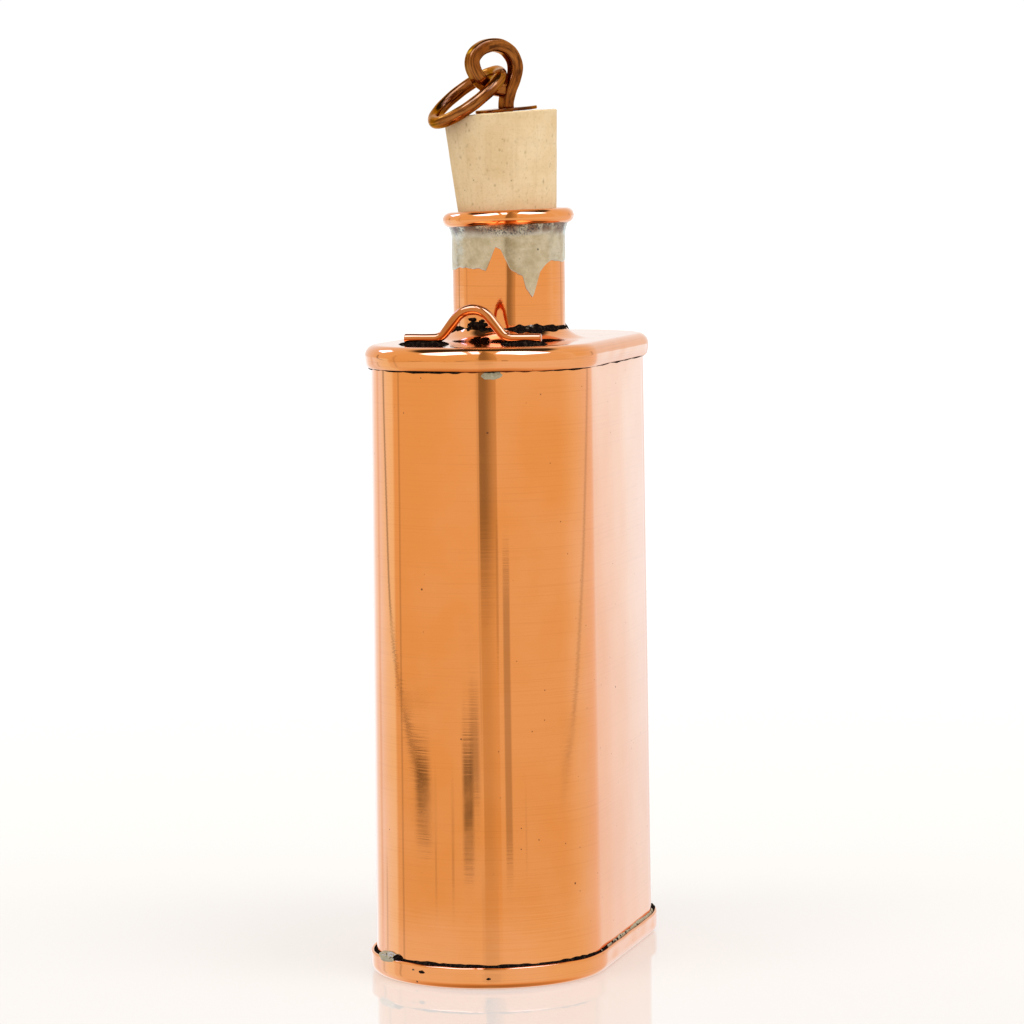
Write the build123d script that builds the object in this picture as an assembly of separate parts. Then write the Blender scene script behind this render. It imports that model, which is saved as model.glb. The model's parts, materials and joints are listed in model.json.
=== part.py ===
from build123d import *
from math import atan, cos, degrees, radians, sin, sqrt, tan
import os

# A copper spirit flask of oval section: a sheet body between two pan caps, a soldered neck with a
# wire lip, one wire tether loop, and a tapered cork with a bent eye and a ring.
# Frame: X along the oval's long axis, Y through its thickness, Z up, origin at the bottom centre.

# ---- driving dimensions, millimetres ----
HEIGHT = 150.0           # base to the flat of the top cap
END_SPACING = 49.4       # between the centres of the two round ends
BODY_R_TOP = 26.6        # half thickness of the body under the top cap
BODY_R_BASE = 27.35      # half thickness of the body at the base
SHEET = 0.8              # copper sheet

TOP_CAP_R = 28.05        # half thickness over the top cap
TOP_FLANGE = 5.5
TOP_ROUND = 1.8          # rounded top edge of the top cap
BASE_CAP_R = 28.6        # half thickness over the base cap
BASE_FLANGE = 5.2
BASE_ROUND = 2.0
LIP_ROUND = 0.35         # rounded free edge of each cap's flange
SEAM_RECESS = 0.5        # solder stands back this far from the flange's free edge
BODY_FOOT = 1.15         # the body's ends stop at the pans' rounded corners
BODY_HEAD = HEIGHT - 0.9

NECK_R = 13.6
NECK_BOTTOM = HEIGHT - 1.0
COLLAR_R = 19.6          # where the raised collar leaves the flat plate
COLLAR_SWEEP = 7.8       # radius of the collar's concave rise
NECK_SOLDER_RISE = 1.3
NECK_SOLDER_RUN = 1.1

LIP_R = 14.1             # centre line of the lip wire
LIP_WIRE_R = 1.8
LIP_Z = 179.3
LIP_TILT = 1.9           # the lip dips towards +Y

TIN_SKIN = 0.15          # wiped tin on the neck
TIN_FLARE = 1.0          # tin fillet under the lip wire
TIN_FLARE_DROP = 1.6
TIN_LOWEST = 158.0
TIN_TURN = 15.0          # the tin's pattern is turned this far round from the -X side
# Lower edge of the tin on the two halves of the neck: distance across the neck, and height.
TIN_EDGE_FRONT = [
    (-14.5, 166.6), (-8.5, 167.3), (-5.5, 166.9), (-3.0, 172.0), (-1.0, 168.2), (3.0, 165.2),
    (5.4, 160.3), (7.6, 165.6), (9.6, 168.4), (14.5, 168.4),
]
TIN_EDGE_BACK = [(-14.5, 166.6), (-7.0, 164.8), (-2.0, 168.5), (3.5, 166.2), (8.0, 169.4), (14.5, 168.4)]

LOOP_X = -33.0
LOOP_WIRE_R = 1.1
LOOP_LIFT = 0.35         # the loop's feet stand on this much solder
LOOP_PEAK = 9.9          # corner of the bump above the feet, before it is rounded
LOOP_CROWN_R = 5.2
LOOP_KNEE_R = 3.6
PAD_WIDTH = 4.0          # solder pad under each foot
PAD_THICK = 1.1
PAD_ROUND = 0.8

CORK_LENGTH = 36.0
CORK_TOP_R = 13.75
CORK_TAPER = 4.4         # degrees each side
CORK_LEAN = 3.7          # the cork leans this much in the neck
CORK_LEAN_TURN = 97.0    # direction it leans in, from +X
CORK_ABOVE_LIP = 25.1    # along the cork's axis, from the lip wire's centre to the cork's top
CORK_EDGE = 0.3

SHANK_AT = (-1.55, -2.0) # the eye's shank stands off the cork's axis
SHANK_R = 1.6            # the cork grips it
WASHER_HOLE_R = 1.7
ROD = 3.25               # squared rod of the eye, across its bend
ROD_DEPTH = 3.2          # the same rod, along the eye's axis
ROD_EDGE = 0.45
EYE_TURN = -40.0         # direction of the eye's plane from +X
EYE_FOOT = 1.25          # the squared rod starts this far above the cork's top

WASHER_R = 7.4
WASHER_THICK = 0.8
WASHER_LIFT = 0.35
WASHER_TILT = 2.2        # its +X edge stands proud of the cork
ROVE_R = 5.5
PEEN_R = 2.8
PEEN_RISE = 1.1

RING_R = 9.8
RING_WIRE_R = 1.55
RING_HINGE = (-2.35, -1.35, 9.65)  # where the ring passes through the eye, from the cork's top
RING_HINGE_TURN = 20.5   # direction of the ring's wire inside the eye
RING_HINGE_RISE = 9.8
RING_DROOP = 32.5        # slope of the ring down to the cork's edge


def oval(radius, z):
    """Oval outline with round ends, level at height z."""
    return Pos(0, 0, z) * SlotCenterToCenter(END_SPACING, 2 * radius)


def body_outside(inset=0.0):
    """Tapered oval block of the body's outer surface, or one set in by the sheet."""
    tall = BODY_HEAD - BODY_FOOT
    flare = degrees(atan((BODY_R_BASE - BODY_R_TOP) / tall))
    return extrude(oval(BODY_R_BASE - inset, BODY_FOOT), tall, taper=flare)


def level_edges(solid, which):
    """Edges at the lowest (0) or the highest (-1) level of a solid."""
    return solid.edges().group_by(Axis.Z)[which]


def make_body_shell():
    return body_outside() - body_outside(SHEET)


def make_base_cap():
    """Pan pressed up round the foot of the body."""
    outside = extrude(oval(BASE_CAP_R, 0), BASE_FLANGE)
    outside = fillet(level_edges(outside, 0), BASE_ROUND)
    inside = extrude(oval(BASE_CAP_R - SHEET, SHEET), BASE_FLANGE)
    inside = fillet(level_edges(inside, 0), BASE_ROUND - SHEET)
    pan = outside - inside
    return fillet(level_edges(pan, -1), LIP_ROUND)


def make_top_cap():
    """Pan pressed down over the body, drawn up into a collar round the neck."""
    outside = extrude(oval(TOP_CAP_R, HEIGHT - TOP_FLANGE), TOP_FLANGE)
    outside = fillet(level_edges(outside, -1), TOP_ROUND)
    inside = extrude(oval(TOP_CAP_R - SHEET, HEIGHT - SHEET), -TOP_FLANGE)
    inside = fillet(level_edges(inside, -1), TOP_ROUND - SHEET)
    pan = outside - inside
    pan = fillet(level_edges(pan, 0), LIP_ROUND)
    pan -= Cylinder(COLLAR_R, 4 * SHEET).moved(Pos(0, 0, HEIGHT))
    return pan + make_collar()


def collar_height(under=0.0):
    """Height of the collar where it meets the neck, on its top or its underside."""
    rise = COLLAR_SWEEP + under
    return HEIGHT + COLLAR_SWEEP - sqrt(rise**2 - (COLLAR_R - NECK_R) ** 2)


def make_collar():
    """Concave sheet band from the flat plate up to the neck."""
    top_inner = (NECK_R, collar_height())
    low_inner = (NECK_R, collar_height(SHEET))
    outline = [
        RadiusArc((COLLAR_R, HEIGHT), top_inner, COLLAR_SWEEP),
        Line(top_inner, low_inner),
        RadiusArc(low_inner, (COLLAR_R, HEIGHT - SHEET), -(COLLAR_SWEEP + SHEET)),
        Line((COLLAR_R, HEIGHT - SHEET), (COLLAR_R, HEIGHT)),
    ]
    return revolve(Plane.XZ * make_face(outline), Axis.Z)


def hollow():
    """Block that fills the flask's inside from end to end."""
    return extrude(oval(BODY_R_TOP - SHEET, 0), HEIGHT)


def make_base_seam_solder():
    """Solder between the body's foot and the base cap's flange."""
    top = BASE_FLANGE - SEAM_RECESS
    ring = extrude(oval(BASE_CAP_R - SHEET, SHEET), top - SHEET)
    ring = fillet(level_edges(ring, 0), BASE_ROUND - SHEET)
    return ring - body_outside() - hollow()


def make_top_seam_solder():
    """Solder between the body's shoulder and the top cap's flange."""
    bottom = HEIGHT - TOP_FLANGE + SEAM_RECESS
    ring = extrude(oval(TOP_CAP_R - SHEET, bottom), HEIGHT - SHEET - bottom)
    ring = fillet(level_edges(ring, -1), TOP_ROUND - SHEET)
    return ring - body_outside() - hollow()


def make_lip_ring():
    return Pos(0, 0, LIP_Z) * Rot(X=-LIP_TILT) * Torus(LIP_R, LIP_WIRE_R)


def tube(outer, inner, bottom, top):
    """Upright tube about the Z axis."""
    rings = Circle(outer) - Circle(inner)
    return extrude(Pos(0, 0, bottom) * rings, top - bottom)


def make_neck_tube():
    """Sheet tube whose mouth is seated in the underside of the lip wire."""
    neck = tube(NECK_R, NECK_R - SHEET, NECK_BOTTOM, LIP_Z) - make_lip_ring()
    return neck.solids().sort_by(Axis.Z)[0]


def make_neck_solder():
    """Solder fillet in the corner between the collar and the neck."""
    foot = collar_height()
    inner_top = (NECK_R, foot + NECK_SOLDER_RISE)
    outer = (NECK_R + NECK_SOLDER_RUN, foot - NECK_SOLDER_RUN / 2)
    outer_low = (outer[0], foot - NECK_SOLDER_RUN)
    inner_low = (NECK_R, outer_low[1])
    outline = [
        RadiusArc(inner_top, outer, -2 * NECK_SOLDER_RISE),
        Polyline(outer, outer_low, inner_low, inner_top),
    ]
    fillet_ring = revolve(Plane.XZ * make_face(outline), Axis.Z)
    return fillet_ring - make_collar()


def make_neck_tinning():
    """Thin wiped tin on the upper neck, thickened under the lip, with an irregular lower edge."""
    skin = tube(NECK_R + TIN_SKIN, NECK_R, TIN_LOWEST, LIP_Z)
    under_lip = LIP_Z - LIP_WIRE_R
    flare = Polyline(
        (NECK_R, under_lip - TIN_FLARE_DROP),
        (NECK_R + TIN_SKIN, under_lip - TIN_FLARE_DROP),
        (NECK_R + TIN_FLARE, LIP_Z - LIP_WIRE_R / 2),
        (NECK_R, LIP_Z - LIP_WIRE_R / 2),
        close=True,
    )
    skin += revolve(Plane.XZ * make_face(flare), Axis.Z)
    skin -= Rot(Z=TIN_TURN) * below_edge(TIN_EDGE_FRONT, -1)
    skin -= Rot(Z=TIN_TURN) * below_edge(TIN_EDGE_BACK, 1)
    skin -= make_lip_ring()
    return skin.solids().sort_by(SortBy.VOLUME)[-1]


def below_edge(edge, side):
    """Block under an irregular edge, through the -X half (side -1) or the +X half (side 1) of the neck."""
    points = [(-across, z) for across, z in edge]
    low = TIN_LOWEST - 5
    outline = [
        Spline(*points),
        Polyline(points[-1], (points[-1][0], low), (points[0][0], low), points[0]),
    ]
    return extrude(Plane.YZ * make_face(outline), side * 2 * NECK_R)


def make_tether_loop():
    """Bent wire with two flat feet and one rounded bump, lying along Y."""
    feet = HEIGHT + LOOP_LIFT + LOOP_WIRE_R
    path = FilletPolyline(
        (LOOP_X, 16.6, feet),
        (LOOP_X, 8.0, feet),
        (LOOP_X, 0.1, feet + LOOP_PEAK),
        (LOOP_X, -7.8, feet),
        (LOOP_X, -16.2, feet),
        radius=[LOOP_KNEE_R, LOOP_CROWN_R, LOOP_KNEE_R],
    )
    return sweep((path ^ 0) * Circle(LOOP_WIRE_R), path=path)


def make_loop_solder():
    """Solder pad under each foot of the loop."""
    wire = make_tether_loop()
    pads = []
    for y, length in ((12.4, 10.0), (-12.0, 10.0)):
        pad = extrude(Pos(LOOP_X, y, HEIGHT) * Rot(Z=90) * SlotOverall(length, PAD_WIDTH), PAD_THICK)
        pad = fillet(level_edges(pad, -1), PAD_ROUND)
        pads.append(pad - wire)
    return pads


def in_stopper(shape):
    """Places a shape made about the cork's axis, with the cork's top at zero, in the flask's neck."""
    lean = Rot(Z=CORK_LEAN_TURN) * Rot(Y=CORK_LEAN) * Rot(Z=-CORK_LEAN_TURN)
    return Pos(0, 0, LIP_Z) * lean * Pos(0, 0, CORK_ABOVE_LIP) * shape


def on_shank(shape):
    """Moves a shape made about the shank's axis to the shank's place in the cork."""
    return Pos(SHANK_AT[0], SHANK_AT[1], 0) * shape


def make_cork_stopper():
    foot_r = CORK_TOP_R - CORK_LENGTH * tan(radians(CORK_TAPER))
    cork = Pos(0, 0, -CORK_LENGTH / 2) * Cone(foot_r, CORK_TOP_R, CORK_LENGTH)
    cork = chamfer(cork.edges().filter_by(GeomType.CIRCLE), CORK_EDGE)
    bore = Pos(0, 0, -CORK_LENGTH / 2) * Cylinder(SHANK_R, 2 * CORK_LENGTH)
    return in_stopper(cork - on_shank(bore))


def washer(radius):
    """Flat washer with a softened rim, its underside at zero."""
    disc = extrude(Circle(radius) - Circle(WASHER_HOLE_R), WASHER_THICK)
    return fillet(disc.edges().filter_by(GeomType.CIRCLE).group_by(SortBy.RADIUS)[-1], WASHER_THICK * 0.3)


def make_stopper_washer():
    disc = Pos(0, 0, WASHER_LIFT) * Rot(Y=-WASHER_TILT) * washer(WASHER_R)
    return in_stopper(on_shank(disc))


def make_lower_washer():
    disc = Pos(0, 0, -CORK_LENGTH - WASHER_THICK) * washer(ROVE_R)
    return in_stopper(on_shank(disc))


def eye_path():
    """Centre line of the squared rod: up from the washer, round the eye and back to the shank."""
    return Spline(
        (0, EYE_FOOT),
        (1.25, 5.4),
        (3.6, 11.1),
        (2.7, 13.8),
        (-3.4, 16.4),
        (-8.85, 12.9),
        (-7.4, 8.6),
        (-4.6, 6.45),
        (-1.0, 5.55),
        tangents=[(0, 1), (1, -0.15)],
    )


def make_stopper_eye():
    """Squared rod bent to an eye on a round shank that passes through the cork and is peened below."""
    path = Plane.XZ * eye_path()
    section = fillet(Rectangle(ROD_DEPTH, ROD).vertices(), ROD_EDGE)
    eye = sweep(Plane(path @ 0, x_dir=(0, 1, 0), z_dir=path % 0) * section, path=path)
    low = -CORK_LENGTH - WASHER_THICK
    shank = extrude(Pos(0, 0, low) * Circle(SHANK_R), EYE_FOOT - low)
    peen = Pos(0, 0, low) * Sphere(PEEN_R)
    peen &= Pos(0, 0, low - PEEN_RISE / 2) * Box(2 * PEEN_R, 2 * PEEN_R, PEEN_RISE)
    return in_stopper(on_shank(Rot(Z=EYE_TURN) * (eye + shank + peen)))


def hinge_frame():
    """The ring's hinge: its place, the wire's direction there, and the direction to the ring's centre."""
    turn = radians(RING_HINGE_TURN)
    rise = radians(RING_HINGE_RISE)
    droop = radians(RING_DROOP)
    along = Vector(cos(rise) * cos(turn), cos(rise) * sin(turn), sin(rise))
    level = Vector(-sin(turn), cos(turn), 0)
    out = level * cos(droop) - along.cross(level) * sin(droop)
    return Vector(*RING_HINGE), along, out


def make_stopper_ring():
    place, along, out = hinge_frame()
    centre = place + out * RING_R
    return in_stopper(Plane(centre, x_dir=out, z_dir=out.cross(along)) * Torus(RING_R, RING_WIRE_R))


PART = {
    "body_shell": make_body_shell,
    "base_cap": make_base_cap,
    "top_cap": make_top_cap,
    "base_seam_solder": make_base_seam_solder,
    "top_seam_solder": make_top_seam_solder,
    "neck_tube": make_neck_tube,
    "lip_ring": make_lip_ring,
    "neck_solder": make_neck_solder,
    "neck_tinning": make_neck_tinning,
    "tether_loop": make_tether_loop,
    "cork_stopper": make_cork_stopper,
    "stopper_washer": make_stopper_washer,
    "lower_washer": make_lower_washer,
    "stopper_eye": make_stopper_eye,
    "stopper_ring": make_stopper_ring,
}


def report_hinge():
    """Prints the place and direction of the ring's hinge in the flask's frame."""
    place, along, _ = hinge_frame()
    print("ring hinge at", in_stopper(Pos(*place)).position)
    print("ring hinge along", in_stopper(Plane((0, 0, 0), z_dir=along)).z_dir)


if __name__ == "__main__":
    os.makedirs("parts", exist_ok=True)
    shapes = {name: make() for name, make in PART.items()}
    shapes["loop_solder_left"], shapes["loop_solder_right"] = make_loop_solder()
    for name, shape in shapes.items():
        shape.label = name
        export_step(shape, f"parts/{name}.step")
    report_hinge()
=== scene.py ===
import json
import math

import bmesh
import bpy
import numpy as np
from mathutils import Matrix, Vector


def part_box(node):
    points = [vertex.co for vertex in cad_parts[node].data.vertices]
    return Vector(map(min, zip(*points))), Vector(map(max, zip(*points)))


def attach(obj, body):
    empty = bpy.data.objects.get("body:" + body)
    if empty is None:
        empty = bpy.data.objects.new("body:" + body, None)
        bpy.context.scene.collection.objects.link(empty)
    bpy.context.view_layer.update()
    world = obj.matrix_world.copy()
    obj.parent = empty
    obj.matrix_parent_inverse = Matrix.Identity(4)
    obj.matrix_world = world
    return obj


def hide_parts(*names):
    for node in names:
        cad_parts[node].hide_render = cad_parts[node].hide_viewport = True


# The looks of an oval copper flask with a cork stopper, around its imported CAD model.
# Shapes are worked out in millimetres in the CAD frame and stored in metres.

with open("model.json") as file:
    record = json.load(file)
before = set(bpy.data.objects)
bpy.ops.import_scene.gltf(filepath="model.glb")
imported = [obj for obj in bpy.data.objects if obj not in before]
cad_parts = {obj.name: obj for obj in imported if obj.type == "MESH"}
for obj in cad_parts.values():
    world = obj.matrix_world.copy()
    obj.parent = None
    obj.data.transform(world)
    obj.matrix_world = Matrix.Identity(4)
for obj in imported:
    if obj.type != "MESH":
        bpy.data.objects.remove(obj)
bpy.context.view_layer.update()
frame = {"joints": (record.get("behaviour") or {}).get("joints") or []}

MM = 0.001
TURN = 2 * math.pi
SAME_POINT = 1e-7  # metres: ring points closer than this are one point

# ---- sizes of the flask, as in the CAD model ----
HEIGHT = 150.0
END_SPACING = 49.4
SHEET = 0.8
BODY_R_BASE, BODY_R_TOP = 27.35, 26.6
BODY_FOOT, BODY_HEAD, SIDE_BULGE = 1.15, 149.1, 0.3
BASE_CAP_R, BASE_FLANGE, BASE_ROUND = 28.6, 5.2, 2.0
TOP_CAP_R, TOP_FLANGE, TOP_EDGE, TOP_TUCK = 28.05, 5.5, 2.6, 0.5
NECK_R, NECK_BOTTOM = 13.6, 149.0
COLLAR_R, COLLAR_SWEEP = 19.6, 7.8
LIP_R, LIP_WIRE_R, LIP_Z, LIP_TILT = 14.1, 1.8, 179.3, 1.9
LIP_GAP, LIP_JOINT_TURN = 0.16, 84.0
LOOP_X, LOOP_WIRE_R, LOOP_LIFT = -33.0, 1.1, 0.35
LOOP_PEAK, LOOP_CROWN_R, LOOP_KNEE_R = 9.9, 5.2, 3.6
CORK_LENGTH, CORK_TOP_R, CORK_TAPER = 36.0, 13.75, 4.4
CORK_LEAN, CORK_LEAN_TURN, CORK_ABOVE_LIP = 3.7, 97.0, 25.1
SHANK_AT = (-1.55, -2.0)
SHANK_R, WASHER_HOLE_R = 1.6, 1.7
ROD, ROD_DEPTH, ROD_EDGE = 3.25, 3.2, 0.9
EYE_TURN, EYE_FOOT = -40.0, 1.25
WASHER_R, WASHER_THICK, WASHER_LIFT, WASHER_TILT = 7.4, 0.8, 0.35, 2.2
ROVE_R, PEEN_R, PEEN_RISE = 5.5, 2.8, 1.1
PORES = 190
RING_WIRE_R, RING_GAP = 1.55, 0.5
RING_JOINT_TURN = 22.0  # from the side that hangs in the eye
SPRUNG_FROM, SPRUNG_OUT, SPRUNG_UP = 0.94, 0.3, 0.4  # share of the wire where one end springs, and how far

# ---- how finely the meshes are divided: points round each piece ----
NECK_POINTS, NECK_SEAM_POINTS, FILM_POINTS = 180, 360, 900
CORK_POINTS, WASHER_POINTS, HEAP_POINTS = 420, 200, 72
TURNS_R = 27.0  # radius of the oval whose points give the turns of the top cap's points
END_SCALES = (0.0, 0.55, 0.85, 0.96)  # sizes of the sections that round off a rod's end
LUMP_LEAN = 0.9  # how much lumps on the base cap's flange lean upwards
SOLDER_OVERLAP = 0.05  # how far lumps of solder reach under the surface they sit on

# ---- the camera's place ----
VIEW_AIM = Vector((0, 0, 107.63)) * MM
VIEW_DISTANCE = 1047.5 * MM
VIEW_YAW, VIEW_PITCH, VIEW_ROLL = 14.96, 4.82, 0.744
FOCAL_WIDTHS = 4300 / 1024
FACING = 180 + VIEW_YAW  # direction from the flask to the camera, in degrees from +X


# ---------------------------------------------------------------- camera and surroundings

def add_camera():
    yaw, pitch, roll = (math.radians(a) for a in (VIEW_YAW, VIEW_PITCH, VIEW_ROLL))
    ahead = Vector((math.cos(pitch) * math.cos(yaw), math.cos(pitch) * math.sin(yaw), -math.sin(pitch)))
    level = ahead.cross(Vector((0, 0, 1))).normalized()
    upright = level.cross(ahead)
    right = level * math.cos(roll) - upright * math.sin(roll)
    up = upright * math.cos(roll) + level * math.sin(roll)
    data = bpy.data.cameras.new("view")
    data.sensor_width = 36
    data.lens = data.sensor_width * FOCAL_WIDTHS
    data.clip_start, data.clip_end = 0.05, 50
    camera = bpy.data.objects.new("view", data)
    turn = Matrix((right, up, -ahead)).transposed().to_4x4()
    camera.matrix_world = Matrix.Translation(VIEW_AIM - ahead * VIEW_DISTANCE) @ turn
    bpy.context.scene.collection.objects.link(camera)
    bpy.context.scene.camera = camera


class Nodes:
    """Short calls for building a node tree."""

    def __init__(self, tree):
        self.tree = tree
        tree.nodes.clear()

    def add(self, kind, inputs=None, **settings):
        node = self.tree.nodes.new("ShaderNode" + kind)
        for key, value in settings.items():
            setattr(node, key, value)
        for key, value in (inputs or {}).items():
            self.put(node.inputs[key], value)
        return node

    def put(self, socket, value):
        if isinstance(value, bpy.types.NodeSocket):
            self.tree.links.new(value, socket)
        elif socket.type == "RGBA":
            socket.default_value = (*value, 1.0)
        else:
            socket.default_value = value

    def math(self, operation, a, b=0.0, clamp=False):
        return self.add("Math", {0: a, 1: b}, operation=operation, use_clamp=clamp).outputs[0]

    def times(self, a, b):
        return self.math("MULTIPLY", a, b)

    def less(self, value):
        """1 minus the value."""
        return self.math("SUBTRACT", 1.0, value)

    def dot(self, vector, constant):
        inputs = {0: vector, 1: tuple(constant)}
        return self.add("VectorMath", inputs, operation="DOT_PRODUCT").outputs["Value"]

    def step(self, value, low, high, start=0.0, end=1.0):
        """Smooth step from start to end as value goes from low to high."""
        inputs = {"Value": value, "From Min": low, "From Max": high, "To Min": start, "To Max": end}
        return self.add("MapRange", inputs, interpolation_type="SMOOTHSTEP").outputs[0]

    def fall(self, value, low, high):
        return self.step(value, low, high, 1.0, 0.0)

    def band(self, value, low, high, soft):
        """1 between low and high, falling smoothly to 0 outside."""
        rise = self.step(value, low - soft, low + soft)
        fall = self.fall(value, high - soft, high + soft)
        return self.times(rise, fall)

    def blend(self, factor, a, b):
        """Mix of two colours."""
        node = self.add("Mix", data_type="RGBA")
        self.put(node.inputs[0], factor)
        self.put(node.inputs[6], a)
        self.put(node.inputs[7], b)
        return node.outputs[2]

    def noise(self, vector, scale, detail=4.0, roughness=0.55, distortion=0.0):
        inputs = {"Vector": vector, "Scale": scale, "Detail": detail, "Roughness": roughness,
                  "Distortion": distortion}
        return self.add("TexNoise", inputs).outputs[0]

    def streaks(self, vector, scale, detail, roughness=0.55, distortion=0.0):
        """Noise with a scale of its own along each axis."""
        mapped = self.add("Mapping", {"Vector": vector, "Scale": scale}).outputs[0]
        return self.noise(mapped, 1.0, detail, roughness, distortion)

    def specks(self, vector, scale, size, share):
        """1 in small round spots, in a share of the cells of a Voronoi pattern."""
        cells = self.add("TexVoronoi", {"Vector": vector, "Scale": scale, "Randomness": 1.0})
        spot = self.fall(cells.outputs["Distance"], size * 0.6, size)
        pick = self.add("SeparateColor", {0: cells.outputs["Color"]}).outputs[0]
        chosen = self.math("GREATER_THAN", pick, 1 - share)
        return self.times(spot, chosen)


def level_vector(degrees):
    """Level direction at degrees from +X."""
    angle = math.radians(degrees)
    return np.array([math.cos(angle), math.sin(angle), 0.0])


def facing_vector(turn):
    """Level direction at turn degrees from the camera's side, positive towards its right."""
    return level_vector(FACING + turn)


# Dark shapes round the flask that polished metal shows: turn range, elevation range, softness, brightness.
TENT_SHADES = [
    (-7.0, -5.4, -7.4, 10.0, 0.8, 0.82),
    (10.8, 13.2, -6.2, -4.4, 0.6, 0.80),
    (17.3, 23.6, -8.9, -4.9, 0.9, 0.66),
    (-98.6, -96.4, -20.0, 20.0, 1.2, 0.70),
    (-129.5, -126.5, -20.0, -9.2, 1.5, 0.74),
    (-57.0, -55.0, -9.4, -8.0, 0.8, 0.82),
    (-38.5, -36.0, -9.3, -8.0, 0.8, 0.80),
    (36.5, 38.0, -8.9, -8.0, 0.8, 0.86),
    (-8.0, 9.0, -20.0, -9.1, 1.0, 0.93),
    (-26.0, -16.0, -8.75, -7.3, 2.5, 0.34),
    (-18.0, -9.0, -8.0, -6.9, 3.0, 0.60),
    (-78.0, -63.0, -8.35, -7.6, 4.5, 0.42),
]
# Edges of the tent's floor sheet: (elevation, turn) along each edge.
LEFT_EDGE = [(-8.3, -62.0), (-7.4, -86.0), (-6.2, -111.0), (-4.6, -120.0), (-2.8, -125.0)]
RIGHT_EDGE = [(-7.9, 80.0), (-7.2, 96.5), (-6.1, 110.0), (-4.4, 124.0), (-2.8, 134.0)]
LAMP_RIBS = [(-0.215, -0.15), (-0.05, 0.165)]


def edge_shade(n, turn, elevation, edge, thin, wide, brightness):
    """Brightness factor of a thin dark line along an edge, wider where it comes near the flask."""
    reach = max(abs(t) for _, t in edge)
    low, high = edge[0][0], edge[-1][0]
    share = n.add("MapRange", {"Value": elevation, "From Min": low, "From Max": high}).outputs[0]
    curve = n.add("FloatCurve", {"Factor": 1.0, "Value": share})
    points = curve.mapping.curves[0].points
    places = [((e - low) / (high - low), abs(t) / reach) for e, t in edge]
    points[0].location = places[0]
    points[1].location = places[-1]
    for place in places[1:-1]:
        points.new(*place)
    curve.mapping.update()
    side = math.copysign(reach, edge[0][1])
    line = n.times(curve.outputs[0], side)
    away = n.math("ABSOLUTE", n.math("SUBTRACT", turn, line))
    width = n.step(elevation, -8.0, -6.6, wide, thin)
    near = n.math("SUBTRACT", 1.0, n.math("DIVIDE", away, width), clamp=True)
    within = n.band(elevation, low, 12.0, 0.15)
    return n.less(n.times(n.times(near, within), 1 - brightness))


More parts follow.
